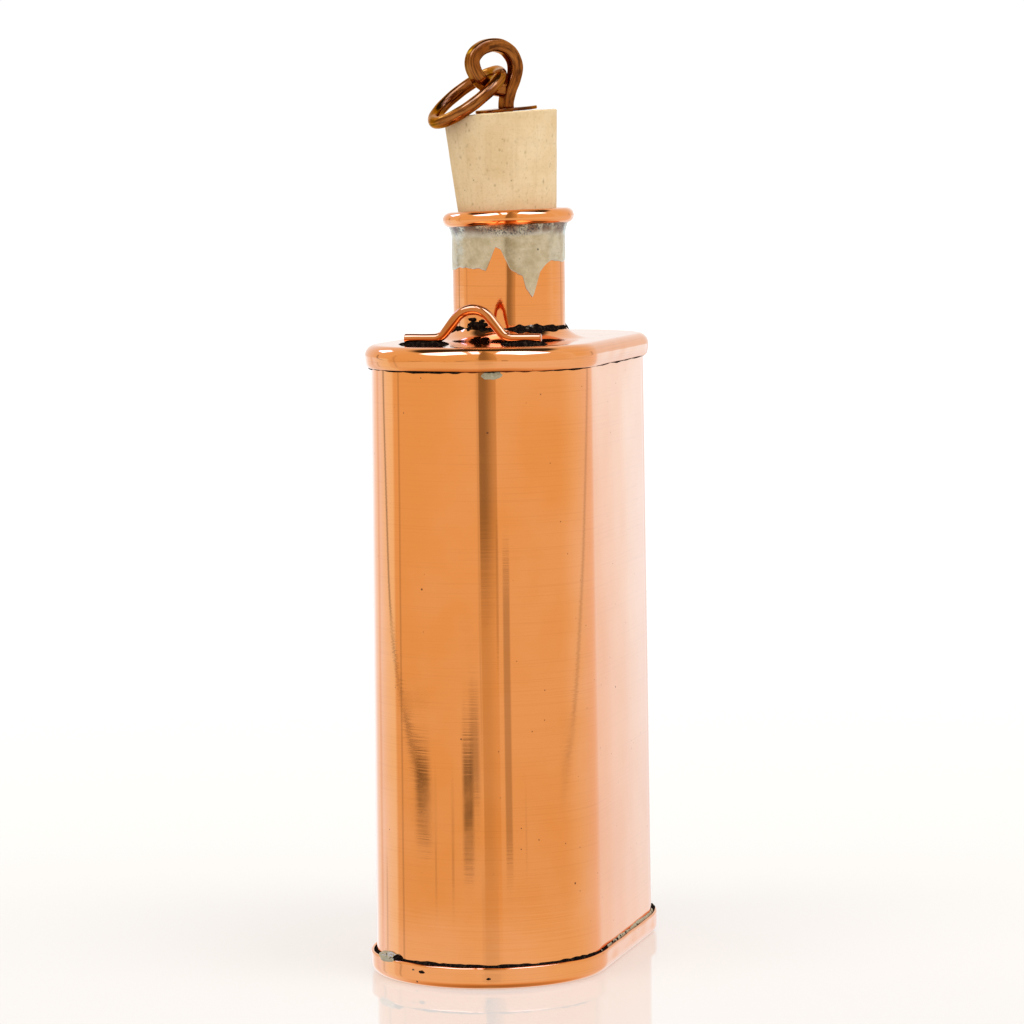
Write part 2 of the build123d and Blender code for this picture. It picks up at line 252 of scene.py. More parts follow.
def add_light_tent():
    """Soft white surroundings with the seams, opening and overhead lamps that polished copper shows."""
    world = bpy.data.worlds.new("light_tent")
    bpy.context.scene.world = world
    world.use_nodes = True
    n = Nodes(world.node_tree)
    direction = n.add("TexCoord").outputs["Generated"]
    ahead = n.dot(direction, facing_vector(0))
    aside = n.dot(direction, facing_vector(90))
    rise = n.dot(direction, (0.0, 0.0, 1.0))
    turn = n.math("DEGREES", n.math("ARCTAN2", aside, ahead))
    elevation = n.math("DEGREES", n.math("ARCSINE", rise))
    off = n.math("ABSOLUTE", turn)

    opening = n.band(turn, -4.8, 12.6, 0.7)
    slit = n.times(opening, n.step(turn, 0.0, 12.0, 0.60, 0.26))
    for low, high, start in [(-5.7, -4.1, 0.36), (-9.4, -8.8, 0.3)]:
        slit = n.times(slit, n.step(elevation, low, high, start))
    light = n.math("SUBTRACT", 0.96, slit)
    for low, high, start in [(-10.2, -9.5, 1.03), (-12.0, -2.0, 0.95)]:
        light = n.times(light, n.step(elevation, low, high, start))
    for low, high, down, up, soft, brightness in TENT_SHADES:
        inside = n.times(n.band(turn, low, high, soft), n.band(elevation, down, up, 0.25))
        light = n.times(light, n.less(n.times(inside, 1 - brightness)))
    light = n.times(light, edge_shade(n, turn, elevation, LEFT_EDGE, 2.8, 10.0, 0.36))
    light = n.times(light, edge_shade(n, turn, elevation, RIGHT_EDGE, 4.0, 6.0, 0.68))

    # Beyond the zenith the tent is open and dark. A ribbed lamp hangs between the zenith and the camera.
    behind = n.fall(ahead, -0.02, 0.10)
    ceiling = n.times(behind, n.step(elevation, 46.0, 55.0))
    light = n.times(light, n.less(n.times(ceiling, 0.94)))
    lamp = n.times(n.band(aside, -0.72, 0.78, 0.02), n.band(ahead, 0.10, 0.58, 0.02))
    lamp = n.times(lamp, n.step(elevation, 36.0, 40.0))
    for low, high in LAMP_RIBS:
        lamp = n.times(lamp, n.less(n.band(aside, low, high, 0.01)))
    far_lamp = n.times(n.band(turn, -143.0, -127.0, 1.5), n.band(elevation, 25.0, 37.0, 1.5))
    lamp = n.math("ADD", lamp, far_lamp)
    light = n.times(light, n.step(elevation, -85.0, -35.0, 0.5))

    # The camera's film turns bright copper pale, so metal sees the brighter parts of the tent as cooler.
    band = n.times(n.fall(turn, -109.0, -104.0), n.step(turn, -142.0, -134.0))
    ramp = n.add("MapRange", {"Value": turn, "From Min": 147.3, "From Max": 153.0}).outputs[0]
    height = n.add("MapRange", {"Value": elevation, "From Min": -11.0, "From Max": -2.8,
                                "To Min": -0.22, "To Max": 0.42}).outputs[0]
    pale = n.math("ADD", n.times(ramp, 0.72), height, clamp=True)
    pale = n.times(pale, n.band(turn, 146.0, 160.0, 2.0))
    tints = [
        (opening, (1.02, 0.95, 0.80)),
        (n.fall(elevation, -10.6, -9.4), (1.06, 1.20, 1.58)),
        (band, (1.14, 1.46, 2.05)),
        (n.fall(turn, -146.0, -138.0), (1.14, 1.30, 1.45)),
        (n.fall(turn, -160.0, -150.0), (1.2, 1.42, 1.6)),
        (n.step(turn, 78.0, 112.0), (1.06, 1.20, 1.52)),
        (n.step(turn, 116.0, 142.0), (1.08, 1.09, 1.12)),
        (pale, (1.15, 1.54, 1.92)),
        (n.fall(elevation, -60.0, -25.0), (1.0, 0.78, 0.56)),
        (n.times(n.step(off, 100.0, 104.0), n.step(elevation, -2.75, -1.6)), (1.02, 1.05, 1.06)),
        (n.step(off, 168.0, 172.0), (1.05, 1.04, 1.02)),
    ]
    tint = (1.0, 1.0, 1.0)
    for share, colour in tints:
        tint = n.blend(share, tint, colour)
    path = n.add("LightPath")
    key_side = n.blend(n.step(aside, -0.9, 0.9), (0.86, 0.84, 0.78), (1.26, 1.29, 1.40))
    tint = n.blend(path.outputs["Is Glossy Ray"], key_side, tint)
    glare = n.blend(path.outputs["Is Glossy Ray"], (3.0, 3.0, 3.0), (2.2, 4.6, 17.0))
    walls = n.add("Background", {"Color": tint, "Strength": light}).outputs[0]
    lamps = n.add("Background", {"Color": glare, "Strength": lamp}).outputs[0]
    surroundings = n.add("AddShader", {0: walls, 1: lamps}).outputs[0]
    plain = n.add("Background", {"Color": (1.0, 1.0, 1.0), "Strength": 1.02}).outputs[0]
    mixed = n.add("MixShader", {0: path.outputs["Is Camera Ray"], 1: surroundings, 2: plain}).outputs[0]
    n.add("OutputWorld", {"Surface": mixed})


def add_floor():
    """Wide pale sheet with a soft sheen. Polished metal shows the light tent in its place."""
    size = 12.0
    mesh = bpy.data.meshes.new("floor")
    corners = [(-size, -size, 0), (size, -size, 0), (size, size, 0), (-size, size, 0)]
    mesh.from_pydata(corners, [], [(0, 1, 2, 3)])
    floor = bpy.data.objects.new("floor", mesh)
    floor.location.z = -0.02 * MM
    bpy.context.scene.collection.objects.link(floor)
    floor.visible_glossy = False
    material = bpy.data.materials.new("floor")
    material.use_nodes = True
    n = Nodes(material.node_tree)
    surface = n.add("BsdfPrincipled", {
        "Base Color": (0.38, 0.36, 0.34), "Roughness": 0.012, "IOR": 1.26,
        "Emission Color": (1.0, 0.965, 0.92), "Emission Strength": 0.355,
    })
    n.add("OutputMaterial", {"Surface": surface.outputs[0]})
    mesh.materials.append(material)


# ---------------------------------------------------------------- materials

def new_material(name):
    material = bpy.data.materials.new(name)
    material.use_nodes = True
    n = Nodes(material.node_tree)
    return material, n, n.add("TexCoord").outputs["Object"]


def finish_material(n, colour, roughness, depth, height, others, strength=1.0):
    """Shader with bumps of a depth in millimetres that follow height."""
    bump = n.add("Bump", {"Strength": strength, "Distance": depth * MM, "Height": height})
    inputs = {"Base Color": colour, "Roughness": roughness, "Normal": bump.outputs[0], **others}
    shader = n.add("BsdfPrincipled", inputs)
    n.add("OutputMaterial", {"Surface": shader.outputs[0]})


COPPER_WARM = (0.835, 0.288, 0.066)
COPPER_PINK = (0.86, 0.318, 0.092)
OXIDE = (0.10, 0.035, 0.015)


def polished_copper(name, grain, grain_depth, haze=0.035, scratched=0.0, colours=(COPPER_WARM, COPPER_PINK)):
    """Bright copper with fine polishing marks: grain is their scale along each axis."""
    material, n, place = new_material(name)
    tone = n.step(n.noise(place, 38.0, 3.0), 0.35, 0.68)
    colour = n.blend(tone, *colours)
    pits = n.specks(place, 140.0, 0.05, 0.4)
    dust = n.specks(place, 480.0, 0.09, 0.16)
    marks = n.math("MAXIMUM", pits, dust)
    colour = n.blend(n.times(marks, 0.85), colour, OXIDE)
    fine = n.streaks(place, grain, 3.0, 0.6)
    scratch = n.streaks(place, (22.0, 22.0, 3400.0), 3.0, 0.7)
    colour = n.blend(n.step(scratch, 0.50, 0.70, 0.0, scratched), colour, (0.42, 0.12, 0.025))
    cloudy = n.noise(place, 70.0, 4.0)
    roughness = n.math("ADD", n.step(cloudy, 0.45, 0.8, haze, haze + 0.07), n.times(marks, 0.4))
    finish_material(n, colour, roughness, grain_depth, fine, {"Metallic": 1.0})
    return material


def aged_copper(name):
    """Copper rod gone brown, with dark streaks and rubbed bright places along its length."""
    material, n, place = new_material(name)
    length = n.add("TexCoord").outputs["UV"]
    streak = n.streaks(length, (0.16, 2.0, 1.0), 6.0, 0.65, 0.4)
    blotch = n.noise(place, 260.0, 5.0, 0.6)
    dark = n.step(n.math("ADD", streak, n.times(blotch, 0.30)), 0.56, 0.80)
    tone = n.step(n.noise(place, 120.0, 2.0), 0.35, 0.65)
    colour = n.blend(tone, (0.26, 0.068, 0.010), (0.41, 0.130, 0.024))
    colour = n.blend(n.times(dark, 0.85), colour, (0.050, 0.014, 0.005))
    roughness = n.step(streak, 0.35, 0.75, 0.09, 0.24)
    scratches = n.streaks(length, (0.5, 9.0, 1.0), 3.0)
    height = n.math("ADD", n.times(blotch, 0.5), n.times(scratches, 0.35))
    metal = {"Metallic": 1.0, "Specular Tint": (1.0, 0.68, 0.44)}
    finish_material(n, colour, roughness, 0.035, height, metal)
    return material


def wiped_tin(name):
    """Dull tin with faint wipe marks, flux specks and, just under the lip, a painted brown reflection of the
    copper lip.
    """
    material, n, place = new_material(name)
    height = n.add("SeparateXYZ", {0: place}).outputs[2]
    mottle = n.noise(place, 420.0, 6.0, 0.65)
    wipe = n.streaks(place, (160.0, 160.0, 900.0), 4.0)
    colour = n.blend(n.step(mottle, 0.3, 0.7), (0.46, 0.355, 0.195), (0.62, 0.50, 0.31))
    colour = n.blend(n.step(wipe, 0.5, 0.75, 0.0, 0.5), colour, (0.66, 0.56, 0.38))
    near_lip = n.step(height, 0.1748, 0.1768)
    grime = n.noise(place, 2300.0, 6.0, 0.75)
    # Painted reflection: a noisy brown band just under the lip stands in for the copper lip mirrored in the
    # tin.
    lip_reflection = n.times(near_lip, n.step(n.noise(place, 300.0, 3.0), 0.34, 0.56))
    colour = n.blend(n.times(lip_reflection, 0.85), colour, (0.17, 0.065, 0.022))
    patchy = n.step(n.streaks(place, (110.0, 110.0, 20.0), 2.0), 0.40, 0.62)
    low_flux = n.math("SUBTRACT", 0.1768, n.times(patchy, 0.0018))
    above = n.step(n.math("SUBTRACT", height, low_flux), -0.0004, 0.0008)
    flux = n.times(above, n.step(grime, 0.49, 0.57))
    spots = n.math("MAXIMUM", flux, n.specks(place, 330.0, 0.11, 0.2))
    colour = n.blend(n.times(spots, 0.85), colour, (0.035, 0.028, 0.02))
    roughness = n.step(mottle, 0.3, 0.8, 0.14, 0.27)
    finish_material(n, colour, roughness, 0.04, mottle, {"Metallic": 0.75})
    return material


def solder(name, grey_share, far_share=None):
    """Soft solder under burnt flux: black crust with a share of grey metal, which may grow towards +X."""
    material, n, place = new_material(name)
    patches = n.noise(place, 330.0, 5.0, 0.6)
    across = n.add("SeparateXYZ", {0: place}).outputs[0]
    share = n.step(across, -0.031, -0.012, grey_share, grey_share if far_share is None else far_share)
    metal = n.step(n.math("ADD", patches, n.times(share, 0.42)), 0.68, 0.76)
    grain = n.noise(place, 1500.0, 4.0)
    crust = n.blend(n.step(grain, 0.45, 0.75), (0.006, 0.004, 0.0035), (0.035, 0.022, 0.014))
    grey = n.blend(grain, (0.24, 0.195, 0.11), (0.60, 0.52, 0.34))
    colour = n.blend(metal, crust, grey)
    roughness = n.step(grain, 0.3, 0.7, 0.30, 0.55)
    dull = {"Metallic": n.times(metal, 0.4), "Specular IOR Level": 0.0}
    finish_material(n, colour, roughness, 0.12, n.noise(place, 800.0, 5.0), dull)
    return material


def cork(name):
    """Fine natural cork: cream, with upright growth lines, pores and a few brown flecks."""
    material, n, place = new_material(name)
    lines = n.streaks(place, (900.0, 900.0, 60.0), 5.0, 0.6)
    rings = n.streaks(place, (60.0, 60.0, 700.0), 4.0, 0.6)
    cloud = n.noise(place, 130.0, 4.0)
    colour = n.blend(n.step(cloud, 0.3, 0.7), (0.73, 0.525, 0.27), (0.80, 0.61, 0.35))
    colour = n.blend(n.step(lines, 0.48, 0.74, 0.0, 0.20), colour, (0.50, 0.33, 0.14))
    colour = n.blend(n.step(rings, 0.50, 0.76, 0.0, 0.12), colour, (0.54, 0.36, 0.16))
    grain = n.noise(place, 1700.0, 3.0, 0.7)
    colour = n.blend(n.step(grain, 0.50, 0.72, 0.0, 0.36), colour, (0.50, 0.34, 0.14))
    flecks = n.specks(place, 230.0, 0.12, 0.06)
    olive = n.specks(place, 520.0, 0.13, 0.06)
    colour = n.blend(n.times(flecks, 0.55), colour, (0.42, 0.25, 0.09))
    colour = n.blend(n.times(olive, 0.65), colour, (0.22, 0.18, 0.07))
    pore = n.add("Attribute", attribute_name="pore").outputs["Fac"]
    colour = n.blend(n.times(pore, 0.7), colour, (0.26, 0.16, 0.06))
    height = n.math("ADD", n.times(lines, 0.6), n.noise(place, 1300.0, 4.0))
    finish_material(n, colour, 0.82, 0.09, height, {"Specular IOR Level": 0.25}, 0.6)
    return material


# ---------------------------------------------------------------- mesh tools

def wobble(points, size, seed):
    """Smooth random height at each point, about -1 to 1, with bumps about size millimetres across."""
    random = np.random.default_rng(seed)
    total = 0
    for _ in range(8):
        wave = random.normal(size=3) / size
        total = total + np.sin(points @ wave * 2.2 + random.uniform(0, TURN))
    return total / 4


def grid_faces(rows, columns, wrap_rows=False):
    """Quads of a grid whose columns close round. Wrapped rows join the last row to the first."""
    row = np.arange(rows if wrap_rows else rows - 1)[:, None]
    column = np.arange(columns)[None, :]
    beside = (column + 1) % columns
    above = (row + 1) % rows
    quads = np.stack([row * columns + column, row * columns + beside,
                      above * columns + beside, above * columns + column], -1)
    return quads.reshape(-1, 4).tolist()


def add_piece(name, points, faces, body, slot, material, replaces=(), sharp=50, uv=None, pore=None):
    """Closed mesh, given in millimetres, that rides on a body."""
    mesh = bpy.data.meshes.new(name)
    mesh.from_pydata((np.asarray(points, float).reshape(-1, 3) * MM).tolist(), [], faces)
    if pore is not None:
        mesh.attributes.new("pore", "FLOAT", "POINT").data.foreach_set("value", pore.ravel())
    if uv is not None:
        corner_points = np.zeros(len(mesh.loops), int)
        mesh.loops.foreach_get("vertex_index", corner_points)
        layer = mesh.uv_layers.new(name="along")
        layer.data.foreach_set("uv", uv.reshape(-1, 2)[corner_points].ravel())
    edit = bmesh.new()
    edit.from_mesh(mesh)
    bmesh.ops.remove_doubles(edit, verts=edit.verts, dist=SAME_POINT)
    bmesh.ops.recalc_face_normals(edit, faces=edit.faces)
    edit.to_mesh(mesh)
    edit.free()
    mesh.polygons.foreach_set("use_smooth", np.ones(len(mesh.polygons), bool))
    mesh.set_sharp_from_angle(angle=math.radians(sharp))
    mesh.materials.append(material)
    piece = bpy.data.objects.new(name, mesh)
    bpy.context.scene.collection.objects.link(piece)
    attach(piece, body)
    if replaces:
        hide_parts(*replaces)


def add_rings(name, rings, body, slot, material, replaces, closed=True, place=None, **looks):
    """Piece whose surface runs over rings of points, and from the last ring to the first if closed."""
    faces = grid_faces(len(rings), rings.shape[1], wrap_rows=closed)
    points = rings if place is None else moved(rings, place)
    add_piece(name, points, faces, body, slot, material, replaces, **looks)


def oval_outline(arc_points=81, side_points=34):
    """Centre offsets along X and outward directions round the oval, from its +X tip."""
    half = END_SPACING / 2
    quarter = np.radians(np.linspace(0, 90, arc_points // 2 + 1))
    end = np.radians(np.linspace(90, 270, arc_points))
    side = np.linspace(half, -half, side_points)[1:-1]
    last = 1.5 * math.pi + quarter[:-1]
    facing_y = np.full(side.size, math.pi / 2)
    angles = np.concatenate([quarter, facing_y, end, facing_y + math.pi, last])
    middles = np.concatenate([
        np.full(quarter.size, half), side, np.full(end.size, -half), side[::-1], np.full(last.size, half),
    ])
    return middles, np.stack([np.cos(angles), np.sin(angles)], -1)


OVAL_MIDDLES, OVAL_DIRECTIONS = oval_outline()
OVAL_COUNT = len(OVAL_MIDDLES)
OVAL_TURNS = np.arctan2(TURNS_R * OVAL_DIRECTIONS[:, 1], OVAL_MIDDLES + TURNS_R * OVAL_DIRECTIONS[:, 0])


def oval_rings(radii, heights):
    """Rings round the oval. Each radius and height is one number, or one for each point of the ring."""
    rings = []
    for radius, height in zip(radii, heights):
        ring = np.zeros((OVAL_COUNT, 3))
        ring[:, 0] = OVAL_MIDDLES + radius * OVAL_DIRECTIONS[:, 0]
        ring[:, 1] = radius * OVAL_DIRECTIONS[:, 1]
        ring[:, 2] = height
        rings.append(ring)
    return np.array(rings)


def around(count):
    """Turns in radians of points spread evenly round a circle."""
    return np.linspace(0, TURN, count, endpoint=False)


def circle(radius, height, turns):
    """Points round the Z axis at turns in radians."""
    return np.stack([radius * np.cos(turns), radius * np.sin(turns), height * np.ones(len(turns))], -1)


def round_rings(radii, heights, turns):
    return np.array([circle(radius, height, turns) for radius, height in zip(radii, heights)])


def arc(centre, radius, start, end, count):
    """Points (radius, height) of an arc, from start to end degrees."""
    angles = np.radians(np.linspace(start, end, count))
    return [(centre[0] + radius * math.cos(a), centre[1] + radius * math.sin(a)) for a in angles]


def push_out(rings, amount):
    """Moves each point of oval rings outwards by an amount in millimetres."""
    rings[..., :2] += OVAL_DIRECTIONS * np.asarray(amount)[..., None]
    return rings


def oval_cover(first):
    """Faces that fill one oval ring, joining its points across the X axis."""
    last = OVAL_COUNT // 2
    faces = [(first, first + 1, first + OVAL_COUNT - 1)]
    for k in range(1, last - 1):
        faces.append((first + k, first + k + 1, first + OVAL_COUNT - k - 1, first + OVAL_COUNT - k))
    faces.append((first + last - 1, first + last, first + last + 1))
    return faces


def path_lengths(path):
    """Distance along a path to each of its points."""
    return np.concatenate([[0], np.cumsum(np.linalg.norm(np.diff(path, axis=0), axis=1))])


def clamped_spline(points, start, end, count):
    """Smooth curve through points, leaving along start and arriving along end."""
    points = np.asarray(points, float)
    knots = path_lengths(points)
    gaps = np.diff(knots)
    size = len(points)
    matrix = np.zeros((size, size))
    right = np.zeros_like(points)
    matrix[0, 0] = matrix[-1, -1] = 1
    right[0] = np.asarray(start) / np.linalg.norm(start)
    right[-1] = np.asarray(end) / np.linalg.norm(end)
    for i in range(1, size - 1):
        before, after = gaps[i - 1], gaps[i]
        matrix[i, i - 1:i + 2] = [after, 2 * (before + after), before]
        rates = np.diff(points[i - 1:i + 2], axis=0) / [[before], [after]]
        right[i] = 3 * (after * rates[0] + before * rates[1])
    slopes = np.linalg.solve(matrix, right)
    places = np.linspace(0, knots[-1], count)
    spans = np.clip(np.searchsorted(knots, places, "right") - 1, 0, size - 2)
    gap = gaps[spans][:, None]
    t = ((places - knots[spans]) / gaps[spans])[:, None]
    return ((2 * t**3 - 3 * t**2 + 1) * points[spans] + (t**3 - 2 * t**2 + t) * gap * slopes[spans]
            + (3 * t**2 - 2 * t**3) * points[spans + 1] + (t**3 - t**2) * gap * slopes[spans + 1])


def filleted(corners, radii, spacing=0.25):
    """Points of a polyline whose inner corners are rounded to the given radii."""
    corners = [np.asarray(c, float) for c in corners]
    path = [corners[0]]
    for before, corner, after, radius in zip(corners, corners[1:], corners[2:], radii):
        back = (before - corner) / np.linalg.norm(before - corner)
        on = (after - corner) / np.linalg.norm(after - corner)
        half = math.acos(np.clip(back @ on, -1, 1)) / 2
        middle = (back + on) / np.linalg.norm(back + on)
        centre = corner + middle * radius / math.sin(half)
        start = corner + back * radius / math.tan(half) - centre
        end = corner + on * radius / math.tan(half) - centre
        bend = math.pi - 2 * half
        for t in np.linspace(0, 1, max(6, int(bend * radius / spacing))):
            spoke = math.sin((1 - t) * bend) * start + math.sin(t * bend) * end
            path.append(centre + spoke / math.sin(bend))
    path.append(corners[-1])
    return np.array(path)


def even_points(path, spacing):
    """The same path with points at even steps."""
    lengths = path_lengths(path)
    places = np.linspace(0, lengths[-1], int(lengths[-1] / spacing) + 1)
    return np.stack([np.interp(places, lengths, path[:, k]) for k in range(3)], -1)


def sweep(path, across, section, rounding):
    """Solid of a changing section along a flat path. across is the path's plane's normal.

    section(share, length) gives the outline's points, in the path's plane and across it."""
    ahead = np.gradient(path, axis=0)
    ahead /= np.linalg.norm(ahead, axis=1)[:, None]
    across = np.asarray(across, float) / np.linalg.norm(across)
    beside = np.cross(across, ahead)
    lengths = path_lengths(path)
    rings = []
    places = []
    stations = [(0, s, -rounding * math.sqrt(1 - s * s)) for s in END_SCALES]
    stations += [(k, 1.0, 0.0) for k in range(len(path))]
    stations += [(len(path) - 1, s, rounding * math.sqrt(1 - s * s)) for s in END_SCALES[::-1]]
    for k, scale, beyond in stations:
        outline = np.asarray(section(lengths[k] / lengths[-1], lengths[k]), float)
        if scale < 1:
            shrink = 1 - (1 - scale) * min(1.0, rounding / np.abs(outline).max()) if scale > 0 else 0.0
            outline = outline * shrink
        centre = path[k] + ahead[k] * beyond
        rings.append(centre + outline[:, :1] * beside[k] + outline[:, 1:] * across)
        girth = np.linspace(0, 2 * np.abs(section(0, 0)).max() * math.pi, len(outline))
        places.append(np.stack([np.full(len(outline), lengths[k] + beyond), girth], -1))
    return np.array(rings), np.array(places)


def round_section(radius, count=28):
    return circle(radius, 0.0, around(count))[:, :2]


def square_section(width, depth, edge, corner_points=8):
    """Rectangle with rounded corners."""
    points = []
    for quadrant, (sx, sy) in enumerate([(1, 1), (-1, 1), (-1, -1), (1, -1)]):
        for a in np.radians(np.linspace(90 * quadrant, 90 * quadrant + 90, corner_points)):
            points.append((sx * (width / 2 - edge) + edge * math.cos(a),
                           sy * (depth / 2 - edge) + edge * math.sin(a)))
    return np.array(points)


def moved(points, matrix):
    """Points in millimetres under a 4 by 4 matrix in millimetres."""
    matrix = np.array(matrix)
    return points @ matrix[:3, :3].T + matrix[:3, 3]


def turned(axis, degrees):
    return Matrix.Rotation(math.radians(degrees), 4, axis)


def heap(name, place, normal, along, half_length, half_width, height, seed, material, replaces=()):
    """Lump of solder on a surface: an uneven mound with its foot just under the surface."""
    normal = np.asarray(normal, float) / np.linalg.norm(normal)
    along = np.asarray(along, float)
    along = along - normal * (along @ normal)
    along /= np.linalg.norm(along)
    beside = np.cross(normal, along)
    turns = around(HEAP_POINTS)
    random = np.random.default_rng(seed)
    outline = 1 + sum(random.normal() * 0.07 / (k ** 0.5) * np.sin(k * turns + random.uniform(0, TURN))
                      for k in range(2, 9))
    rings = []
    for reach in np.concatenate([np.linspace(1, 0.06, 22), [0.0]]):
        flat = np.stack([reach * outline * half_length * np.cos(turns),
                         reach * outline * half_width * np.sin(turns)], -1)
        point = np.asarray(place) + flat[:, :1] * along + flat[:, 1:] * beside
        lump = height * (1 - reach**2.4) ** 0.6
        lump = lump * (1 + 0.28 * wobble(point, 2.2, seed) + 0.12 * wobble(point, 0.8, seed + 1))
        rings.append(point + normal * (lump - SOLDER_OVERLAP)[:, None])
    faces = grid_faces(len(rings), HEAP_POINTS)
    faces.append(tuple(range(HEAP_POINTS)))
    add_piece(name, rings, faces, "flask", "solder", material, replaces, sharp=60)


def side_heap(name, place, normal, lean, sizes, seed, material):
    """Lump of solder on an upright surface, with its top leaning upwards by a share."""
    beside = np.cross(normal, [0, 0, 1])
    heap(name, place, normal + np.array([0, 0, lean]), beside, *sizes, seed, material)


# ---------------------------------------------------------------- the flask's pieces

def body_radius(height):
    share = (np.asarray(height) - BODY_FOOT) / (BODY_HEAD - BODY_FOOT)
    return BODY_R_BASE + (BODY_R_TOP - BODY_R_BASE) * share


def build_body(material):
    outer_heights = np.linspace(BODY_FOOT, BODY_HEAD, 110)
    outer = oval_rings(body_radius(outer_heights), outer_heights)
    stretch = outer * [1.0, 1.0, 0.45]
    flat_share = np.clip(1 - (np.abs(OVAL_MIDDLES) / (END_SPACING / 2)) ** 2, 0, 1)
    climb = np.clip((outer[..., 2] - BODY_FOOT) / (BODY_HEAD - BODY_FOOT), 0, 1)
    ends_share = np.sin(climb * math.pi) ** 0.4
    push_out(outer, SIDE_BULGE * flat_share * ends_share)
    push_out(outer, 0.030 * wobble(stretch, 22, 3) + 0.008 * wobble(stretch, 8, 4))
    inner_heights = np.linspace(BODY_HEAD, BODY_FOOT, 24)
    inner = oval_rings(body_radius(inner_heights) - SHEET, inner_heights)
    rings = np.concatenate([outer, inner])
    add_rings("body_sheet", rings, "flask", "polished_copper", material, ["body_shell"])


def base_cap_push(points):
    """How far hammering has moved the base cap's flange outwards."""
    wave = 0.045 * wobble(points * [1, 1, 1.5], 7, 11) + 0.05 * wobble(points, 24, 12)
    spread = 0.32 * (0.5 + 0.5 * wobble(points * [1, 1, 0], 15, 13))
    return wave + spread * np.clip(points[..., 2] / BASE_FLANGE, 0, 1) ** 3


def build_base_cap(material):
    plate = BASE_CAP_R - BASE_ROUND
    lip = SHEET / 2
    outside = [(plate, 0.0)] + arc((plate, BASE_ROUND), BASE_ROUND, -90, 0, 10)[1:]
    outside += [(BASE_CAP_R, z) for z in np.linspace(BASE_ROUND, BASE_FLANGE - lip, 8)[1:]]
    over = arc((BASE_CAP_R - lip, BASE_FLANGE - lip), lip, 0, 180, 9)[1:]
    inside = arc((plate, BASE_ROUND), BASE_ROUND - SHEET, 0, -90, 7)
    profile = outside + over + inside
    rings = oval_rings(*zip(*profile))
    push_out(rings, np.where(rings[..., 2] > 0.9, base_cap_push(rings), 0.0))
    rings[..., 2] += 0.16 * wobble(rings * [1, 1, 0], 9, 14) * np.clip((rings[..., 2] - 3) / 2, 0, 1)
    faces = grid_faces(len(rings), OVAL_COUNT)
    faces += oval_cover(0) + oval_cover((len(rings) - 1) * OVAL_COUNT)
    add_piece("base_pan", rings, faces, "flask", "polished_copper", material, ["base_cap"])


def collar_height(radius, under=0.0):
    rise = COLLAR_SWEEP + under
    return HEIGHT + COLLAR_SWEEP - np.sqrt(rise**2 - (COLLAR_R - radius) ** 2)


def build_top_cap(material):
    plate = TOP_CAP_R - TOP_EDGE
    lip = SHEET / 2
    bottom = HEIGHT - TOP_FLANGE
    inside = arc((plate, HEIGHT - TOP_EDGE), TOP_EDGE - SHEET, 90, 0, 7)
    under = arc((TOP_CAP_R - TOP_TUCK - lip, bottom + lip), lip, 180, 345, 9)
    outside = []
    for z in np.linspace(bottom + lip, HEIGHT - TOP_EDGE, 10)[1:-1]:
        outside.append((TOP_CAP_R - TOP_TUCK * ((HEIGHT - TOP_EDGE - z) / (TOP_FLANGE - TOP_EDGE)) ** 2, z))
    over = arc((plate, HEIGHT - TOP_EDGE), TOP_EDGE, 0, 90, 20)
    profile = inside + under + outside + over
    pan = oval_rings(*zip(*profile))
    wave = 0.030 * wobble(pan * [1, 1, 1.5], 8, 21) + 0.04 * wobble(pan, 26, 22)
    push_out(pan, np.where(pan[..., 2] < HEIGHT - 0.3, wave, 0.0))
    pan[..., 2] += 0.10 * wobble(pan * [1, 1, 0], 11, 23) * (pan[..., 2] < bottom + 2)
    shares = np.linspace(0, 1, 9)[1:, None, None]
    collar_radii = np.linspace(COLLAR_R, NECK_R, 18)[1:]
    plate_edge = circle(COLLAR_R, HEIGHT, OVAL_TURNS)
    top_plate = pan[-1] + shares * (plate_edge - pan[-1])
    collar_top = round_rings(collar_radii, collar_height(collar_radii), OVAL_TURNS)
    low_radii = collar_radii[::-1]
    collar_low = round_rings(low_radii, collar_height(low_radii, SHEET), OVAL_TURNS)
    low_edge = circle(COLLAR_R, HEIGHT - SHEET, OVAL_TURNS)
    low_plate = low_edge + np.linspace(0, 1, 5)[:-1, None, None] * (pan[0] - low_edge)
    top_plate[..., 2] += 0.05 * wobble(top_plate, 10, 24) * np.sin(shares[..., 0] * math.pi)
    rings = np.concatenate([pan, top_plate, collar_top, collar_low, low_plate])
    add_rings("top_pan", rings, "flask", "polished_copper", material, ["top_cap"])


def build_base_seam(material):
    """Solder and burnt flux that stand a little above the base cap's flange."""
    ring = oval_rings([BODY_R_BASE], [0.0])[0]
    crest = BASE_FLANGE + 0.28 + 0.22 * wobble(ring, 6, 31) + 0.18 * wobble(ring, 1.4, 32)
    crest = crest + 0.38 * np.clip(-OVAL_DIRECTIONS[:, 0], 0, 1) - 0.12
    reach = 0.46 + 0.12 * wobble(ring, 4, 33) + 0.06 * wobble(ring, 1.2, 34)
    inner = BODY_R_BASE - 0.12
    radii = [inner, inner + 0.5, BODY_R_BASE + reach, BODY_R_BASE + 0.8 * reach, BODY_R_BASE + 0.4 * reach,
             BODY_R_BASE + 0.08, inner]
    heights = [2.0, 2.0, crest - 0.75, crest - 0.35, crest - 0.02, crest + 0.18, crest + 0.15]
    rings = oval_rings(radii, heights)
    add_rings("base_seam", rings, "flask", "solder", material, ["base_seam_solder"], sharp=70)


